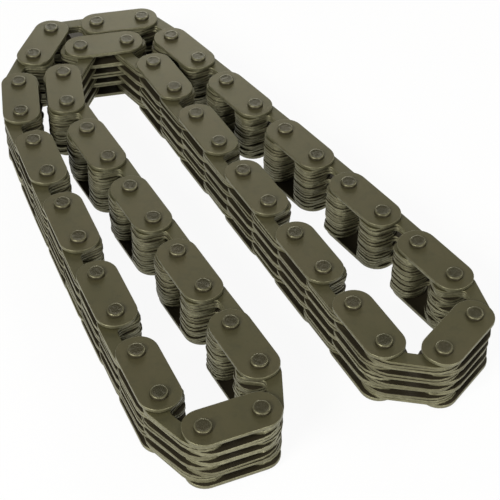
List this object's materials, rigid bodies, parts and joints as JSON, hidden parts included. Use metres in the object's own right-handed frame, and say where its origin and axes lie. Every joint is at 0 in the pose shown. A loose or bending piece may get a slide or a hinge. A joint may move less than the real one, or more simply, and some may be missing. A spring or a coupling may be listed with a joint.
{
  "type": "silent timing chain",
  "caption": "Endless inverted-tooth timing chain lying on its side in a loose loop, with leaf packs, guide plates and riveted pins.",
  "frame": {"origin": "centre of the loop's bounding box, on the plane that the lower pin heads rest on", "axes": "+Z along the pins, up; +Y along the two arms of the loop, towards its closed top; +X to the right arm"},
  "size_m": [0.0832, 0.1594, 0.0162],
  "materials": {
    "leaf_steel": "satin oxide brown",
    "guide_steel": "satin oxide brown"
  },
  "bodies": {
    "link_01": {"guide_link_01": "guide_steel"},
    "link_02": {"leaf_link_02": "leaf_steel"},
    "link_03": {"guide_link_03": "guide_steel"},
    "link_04": {"leaf_link_04": "leaf_steel"},
    "link_05": {"guide_link_05": "guide_steel"},
    "link_06": {"leaf_link_06": "leaf_steel"},
    "link_07": {"guide_link_07": "guide_steel"},
    "link_08": {"leaf_link_08": "leaf_steel"},
    "link_09": {"guide_link_09": "guide_steel"},
    "link_10": {"leaf_link_10": "leaf_steel"},
    "link_11": {"guide_link_11": "guide_steel"},
    "link_12": {"leaf_link_12": "leaf_steel"},
    "link_13": {"guide_link_13": "guide_steel"},
    "link_14": {"leaf_link_14": "leaf_steel"},
    "link_15": {"guide_link_15": "guide_steel"},
    "link_16": {"leaf_link_16": "leaf_steel"},
    "link_17": {"guide_link_17": "guide_steel"},
    "link_18": {"leaf_link_18": "leaf_steel"},
    "link_19": {"guide_link_19": "guide_steel"},
    "link_20": {"leaf_link_20": "leaf_steel"},
    "link_21": {"guide_link_21": "guide_steel"},
    "link_22": {"leaf_link_22": "leaf_steel"},
    "link_23": {"guide_link_23": "guide_steel"},
    "link_24": {"leaf_link_24": "leaf_steel"},
    "link_25": {"guide_link_25": "guide_steel"},
    "link_26": {"leaf_link_26": "leaf_steel"},
    "link_27": {"guide_link_27": "guide_steel"},
    "link_28": {"leaf_link_28": "leaf_steel"},
    "link_29": {"guide_link_29": "guide_steel"},
    "link_30": {"leaf_link_30": "leaf_steel"},
    "link_31": {"guide_link_31": "guide_steel"},
    "link_32": {"leaf_link_32": "leaf_steel"},
    "link_33": {"guide_link_33": "guide_steel"},
    "link_34": {"leaf_link_34": "leaf_steel"},
    "link_35": {"guide_link_35": "guide_steel"},
    "link_36": {"leaf_link_36": "leaf_steel"},
    "link_37": {"guide_link_37": "guide_steel"},
    "link_38": {"leaf_link_38": "leaf_steel"},
    "link_39": {"guide_link_39": "guide_steel"},
    "link_40": {"leaf_link_40": "leaf_steel"},
    "link_41": {"guide_link_41": "guide_steel"},
    "link_42": {"leaf_link_42": "leaf_steel"},
    "link_43": {"guide_link_43": "guide_steel"},
    "link_44": {"leaf_link_44": "leaf_steel"},
    "link_45": {"guide_link_45": "guide_steel"},
    "link_46": {"leaf_link_46": "leaf_steel"},
    "link_47": {"guide_link_47": "guide_steel"},
    "link_48": {"leaf_link_48": "leaf_steel"},
    "link_49": {"guide_link_49": "guide_steel"},
    "link_50": {"leaf_link_50": "leaf_steel"}
  },
  "joints": [
    {"name": "pin_02", "type": "hinge", "parent": "link_01", "child": "link_02", "pos_m": [0.0196, 0.06827, 0.0081], "axis": [0, 0, 1], "range_deg": [-20, 140]},
    {"name": "pin_03", "type": "hinge", "parent": "link_02", "child": "link_03", "pos_m": [0.02262, 0.05594, 0.0081], "axis": [0, 0, 1], "range_deg": [-74.5, 85.5]},
    {"name": "pin_04", "type": "hinge", "parent": "link_03", "child": "link_04", "pos_m": [0.02445, 0.04337, 0.0081], "axis": [0, 0, 1], "range_deg": [-79.7, 80.3]},
    {"name": "pin_05", "type": "hinge", "parent": "link_04", "child": "link_05", "pos_m": [0.02621, 0.03079, 0.0081], "axis": [0, 0, 1], "range_deg": [-79.7, 80.3]},
    {"name": "pin_06", "type": "hinge", "parent": "link_05", "child": "link_06", "pos_m": [0.02791, 0.01821, 0.0081], "axis": [0, 0, 1], "range_deg": [-79.7, 80.3]},
    {"name": "pin_07", "type": "hinge", "parent": "link_06", "child": "link_07", "pos_m": [0.02954, 0.00561, 0.0081], "axis": [0, 0, 1], "range_deg": [-79.7, 80.3]},
    {"name": "pin_08", "type": "hinge", "parent": "link_07", "child": "link_08", "pos_m": [0.03111, -0.00699, 0.0081], "axis": [0, 0, 1], "range_deg": [-79.7, 80.3]},
    {"name": "pin_09", "type": "hinge", "parent": "link_08", "child": "link_09", "pos_m": [0.03261, -0.0196, 0.0081], "axis": [0, 0, 1], "range_deg": [-79.7, 80.3]},
    {"name": "pin_10", "type": "hinge", "parent": "link_09", "child": "link_10", "pos_m": [0.03404, -0.03222, 0.0081], "axis": [0, 0, 1], "range_deg": [-79.7, 80.3]},
    {"name": "pin_11", "type": "hinge", "parent": "link_10", "child": "link_11", "pos_m": [0.03541, -0.04485, 0.0081], "axis": [0, 0, 1], "range_deg": [-79.7, 80.3]},
    {"name": "pin_12", "type": "hinge", "parent": "link_11", "child": "link_12", "pos_m": [0.03671, -0.05748, 0.0081], "axis": [0, 0, 1], "range_deg": [-58.9, 101.1]},
    {"name": "pin_13", "type": "hinge", "parent": "link_12", "child": "link_13", "pos_m": [0.03338, -0.06974, 0.0081], "axis": [0, 0, 1], "range_deg": [-28.5, 131.5]},
    {"name": "right_arm_sway", "type": "hinge", "parent": "link_13", "child": "link_14", "pos_m": [0.02172, -0.07476, 0.0081], "axis": [0, 0, 1], "range_deg": [-3.6, 5.4]},
    {"name": "pin_15", "type": "hinge", "parent": "link_14", "child": "link_15", "pos_m": [0.01163, -0.06704, 0.0081], "axis": [0, 0, 1], "range_deg": [-26.8, 133.2]},
    {"name": "pin_16", "type": "hinge", "parent": "link_15", "child": "link_16", "pos_m": [0.01178, -0.05434, 0.0081], "axis": [0, 0, 1], "range_deg": [-80, 80]},
    {"name": "pin_17", "type": "hinge", "parent": "link_16", "child": "link_17", "pos_m": [0.01193, -0.04164, 0.0081], "axis": [0, 0, 1], "range_deg": [-80, 80]},
    {"name": "pin_18", "type": "hinge", "parent": "link_17", "child": "link_18", "pos_m": [0.01208, -0.02894, 0.0081], "axis": [0, 0, 1], "range_deg": [-80, 80]},
    {"name": "pin_19", "type": "hinge", "parent": "link_18", "child": "link_19", "pos_m": [0.01223, -0.01624, 0.0081], "axis": [0, 0, 1], "range_deg": [-80, 80]},
    {"name": "pin_20", "type": "hinge", "parent": "link_19", "child": "link_20", "pos_m": [0.01238, -0.00354, 0.0081], "axis": [0, 0, 1], "range_deg": [-80, 80]},
    {"name": "pin_21", "type": "hinge", "parent": "link_20", "child": "link_21", "pos_m": [0.01253, 0.00916, 0.0081], "axis": [0, 0, 1], "range_deg": [-80, 80]},
    {"name": "pin_22", "type": "hinge", "parent": "link_21", "child": "link_22", "pos_m": [0.01267, 0.02186, 0.0081], "axis": [0, 0, 1], "range_deg": [-80, 80]},
    {"name": "pin_23", "type": "hinge", "parent": "link_22", "child": "link_23", "pos_m": [0.01282, 0.03455, 0.0081], "axis": [0, 0, 1], "range_deg": [-80, 80]},
    {"name": "pin_24", "type": "hinge", "parent": "link_23", "child": "link_24", "pos_m": [0.01297, 0.04725, 0.0081], "axis": [0, 0, 1], "range_deg": [-89.5, 70.5]},
    {"name": "pin_25", "type": "hinge", "parent": "link_24", "child": "link_25", "pos_m": [0.01102, 0.0598, 0.0081], "axis": [0, 0, 1], "range_deg": [-145, 15]},
    {"name": "pin_26", "type": "hinge", "parent": "link_25", "child": "link_26", "pos_m": [-0.00117, 0.06335, 0.0081], "axis": [0, 0, 1], "range_deg": [-141.8, 18.2]},
    {"name": "pin_27", "type": "hinge", "parent": "link_26", "child": "link_27", "pos_m": [-0.01006, 0.05428, 0.0081], "axis": [0, 0, 1], "range_deg": [-105.2, 54.8]},
    {"name": "left_arm_sway", "type": "hinge", "parent": "link_27", "child": "link_28", "pos_m": [-0.01424, 0.04229, 0.0081], "axis": [0, 0, 1], "range_deg": [-9, 3]},
    {"name": "pin_29", "type": "hinge", "parent": "link_28", "child": "link_29", "pos_m": [-0.01427, 0.02959, 0.0081], "axis": [0, 0, 1], "range_deg": [-80, 80]},
    {"name": "pin_30", "type": "hinge", "parent": "link_29", "child": "link_30", "pos_m": [-0.0143, 0.01689, 0.0081], "axis": [0, 0, 1], "range_deg": [-80, 80]},
    {"name": "pin_31", "type": "hinge", "parent": "link_30", "child": "link_31", "pos_m": [-0.01433, 0.00419, 0.0081], "axis": [0, 0, 1], "range_deg": [-80, 80]},
    {"name": "pin_32", "type": "hinge", "parent": "link_31", "child": "link_32", "pos_m": [-0.01436, -0.00851, 0.0081], "axis": [0, 0, 1], "range_deg": [-80, 80]},
    {"name": "pin_33", "type": "hinge", "parent": "link_32", "child": "link_33", "pos_m": [-0.01438, -0.02121, 0.0081], "axis": [0, 0, 1], "range_deg": [-80, 80]},
    {"name": "pin_34", "type": "hinge", "parent": "link_33", "child": "link_34", "pos_m": [-0.01441, -0.03391, 0.0081], "axis": [0, 0, 1], "range_deg": [-80, 80]},
    {"name": "pin_35", "type": "hinge", "parent": "link_34", "child": "link_35", "pos_m": [-0.01444, -0.04661, 0.0081], "axis": [0, 0, 1], "range_deg": [-80, 80]},
    {"name": "pin_36", "type": "hinge", "parent": "link_35", "child": "link_36", "pos_m": [-0.01447, -0.05931, 0.0081], "axis": [0, 0, 1], "range_deg": [-52.9, 107.1]},
    {"name": "pin_37", "type": "hinge", "parent": "link_36", "child": "link_37", "pos_m": [-0.02029, -0.0706, 0.0081], "axis": [0, 0, 1], "range_deg": [-10.7, 149.3]},
    {"name": "pin_38", "type": "hinge", "parent": "link_37", "child": "link_38", "pos_m": [-0.03291, -0.06914, 0.0081], "axis": [0, 0, 1], "range_deg": [-13.9, 146.1]},
    {"name": "pin_39", "type": "hinge", "parent": "link_38", "child": "link_39", "pos_m": [-0.03669, -0.05702, 0.0081], "axis": [0, 0, 1], "range_deg": [-58.5, 101.5]},
    {"name": "pin_40", "type": "hinge", "parent": "link_39", "child": "link_40", "pos_m": [-0.03577, -0.04435, 0.0081], "axis": [0, 0, 1], "range_deg": [-79.5, 80.5]},
    {"name": "pin_41", "type": "hinge", "parent": "link_40", "child": "link_41", "pos_m": [-0.03474, -0.0317, 0.0081], "axis": [0, 0, 1], "range_deg": [-79.5, 80.5]},
    {"name": "pin_42", "type": "hinge", "parent": "link_41", "child": "link_42", "pos_m": [-0.03359, -0.01905, 0.0081], "axis": [0, 0, 1], "range_deg": [-79.5, 80.5]},
    {"name": "pin_43", "type": "hinge", "parent": "link_42", "child": "link_43", "pos_m": [-0.03234, -0.00641, 0.0081], "axis": [0, 0, 1], "range_deg": [-79.5, 80.5]},
    {"name": "pin_44", "type": "hinge", "parent": "link_43", "child": "link_44", "pos_m": [-0.03098, 0.00622, 0.0081], "axis": [0, 0, 1], "range_deg": [-79.5, 80.5]},
    {"name": "pin_45", "type": "hinge", "parent": "link_44", "child": "link_45", "pos_m": [-0.02951, 0.01883, 0.0081], "axis": [0, 0, 1], "range_deg": [-79.5, 80.5]},
    {"name": "pin_46", "type": "hinge", "parent": "link_45", "child": "link_46", "pos_m": [-0.02793, 0.03143, 0.0081], "axis": [0, 0, 1], "range_deg": [-79.5, 80.5]},
    {"name": "pin_47", "type": "hinge", "parent": "link_46", "child": "link_47", "pos_m": [-0.02623, 0.04402, 0.0081], "axis": [0, 0, 1], "range_deg": [-68.1, 91.9]},
    {"name": "pin_48", "type": "hinge", "parent": "link_47", "child": "link_48", "pos_m": [-0.02198, 0.05599, 0.0081], "axis": [0, 0, 1], "range_deg": [-59.7, 100.3]},
    {"name": "pin_49", "type": "hinge", "parent": "link_48", "child": "link_49", "pos_m": [-0.01382, 0.06572, 0.0081], "axis": [0, 0, 1], "range_deg": [-75.5, 84.5]},
    {"name": "pin_50", "type": "hinge", "parent": "link_49", "child": "link_50", "pos_m": [-0.00494, 0.0748, 0.0081], "axis": [0, 0, 1], "range_deg": [-20.8, 139.2]}
  ],
  "couplings": [
    {"joint": "pin_02", "follows": "right_arm_sway", "ratio": 0.475},
    {"joint": "pin_03", "follows": "right_arm_sway", "ratio": 0.28},
    {"joint": "pin_04", "follows": "right_arm_sway", "ratio": 0.271},
    {"joint": "pin_05", "follows": "right_arm_sway", "ratio": -0.262},
    {"joint": "pin_06", "follows": "right_arm_sway", "ratio": 0.269},
    {"joint": "pin_07", "follows": "right_arm_sway", "ratio": -0.26},
    {"joint": "pin_08", "follows": "right_arm_sway", "ratio": 0.263},
    {"joint": "pin_09", "follows": "right_arm_sway", "ratio": -0.254},
    {"joint": "pin_10", "follows": "right_arm_sway", "ratio": 0.255},
    {"joint": "pin_11", "follows": "right_arm_sway", "ratio": -0.278},
    {"joint": "pin_12", "follows": "right_arm_sway", "ratio": 0.147},
    {"joint": "pin_13", "follows": "right_arm_sway", "ratio": -0.96},
    {"joint": "pin_15", "follows": "right_arm_sway", "ratio": 0.147},
    {"joint": "pin_16", "follows": "right_arm_sway", "ratio": -0.367},
    {"joint": "pin_17", "follows": "right_arm_sway", "ratio": 0.253},
    {"joint": "pin_18", "follows": "right_arm_sway", "ratio": -0.253},
    {"joint": "pin_19", "follows": "right_arm_sway", "ratio": 0.253},
    {"joint": "pin_20", "follows": "right_arm_sway", "ratio": -0.253},
    {"joint": "pin_21", "follows": "right_arm_sway", "ratio": 0.253},
    {"joint": "pin_22", "follows": "right_arm_sway", "ratio": -0.253},
    {"joint": "pin_23", "follows": "right_arm_sway", "ratio": 0.253},
    {"joint": "pin_24", "follows": "right_arm_sway", "ratio": -0.273},
    {"joint": "pin_25", "follows": "right_arm_sway", "ratio": -0.557},
    {"joint": "pin_26", "follows": "right_arm_sway", "ratio": -0.147},
    {"joint": "pin_27", "follows": "left_arm_sway", "ratio": 0.79},
    {"joint": "pin_29", "follows": "left_arm_sway", "ratio": -0.685},
    {"joint": "pin_30", "follows": "left_arm_sway", "ratio": 0.211},
    {"joint": "pin_31", "follows": "left_arm_sway", "ratio": -0.211},
    {"joint": "pin_32", "follows": "left_arm_sway", "ratio": 0.211},
    {"joint": "pin_33", "follows": "left_arm_sway", "ratio": -0.211},
    {"joint": "pin_34", "follows": "left_arm_sway", "ratio": 0.211},
    {"joint": "pin_35", "follows": "left_arm_sway", "ratio": -0.211},
    {"joint": "pin_36", "follows": "left_arm_sway", "ratio": 0.502},
    {"joint": "pin_37", "follows": "left_arm_sway", "ratio": -0.961},
    {"joint": "pin_38", "follows": "left_arm_sway", "ratio": -0.211},
    {"joint": "pin_39", "follows": "left_arm_sway", "ratio": 0.861},
    {"joint": "pin_40", "follows": "left_arm_sway", "ratio": 0.211},
    {"joint": "pin_41", "follows": "left_arm_sway", "ratio": -0.219},
    {"joint": "pin_42", "follows": "left_arm_sway", "ratio": 0.211},
    {"joint": "pin_43", "follows": "left_arm_sway", "ratio": -0.219},
    {"joint": "pin_44", "follows": "left_arm_sway", "ratio": 0.211},
    {"joint": "pin_45", "follows": "left_arm_sway", "ratio": -0.218},
    {"joint": "pin_46", "follows": "left_arm_sway", "ratio": 0.211},
    {"joint": "pin_47", "follows": "left_arm_sway", "ratio": -0.827},
    {"joint": "pin_48", "follows": "left_arm_sway", "ratio": -0.307},
    {"joint": "pin_49", "follows": "left_arm_sway", "ratio": -0.407},
    {"joint": "pin_50", "follows": "left_arm_sway", "ratio": 0.305}
  ]
}
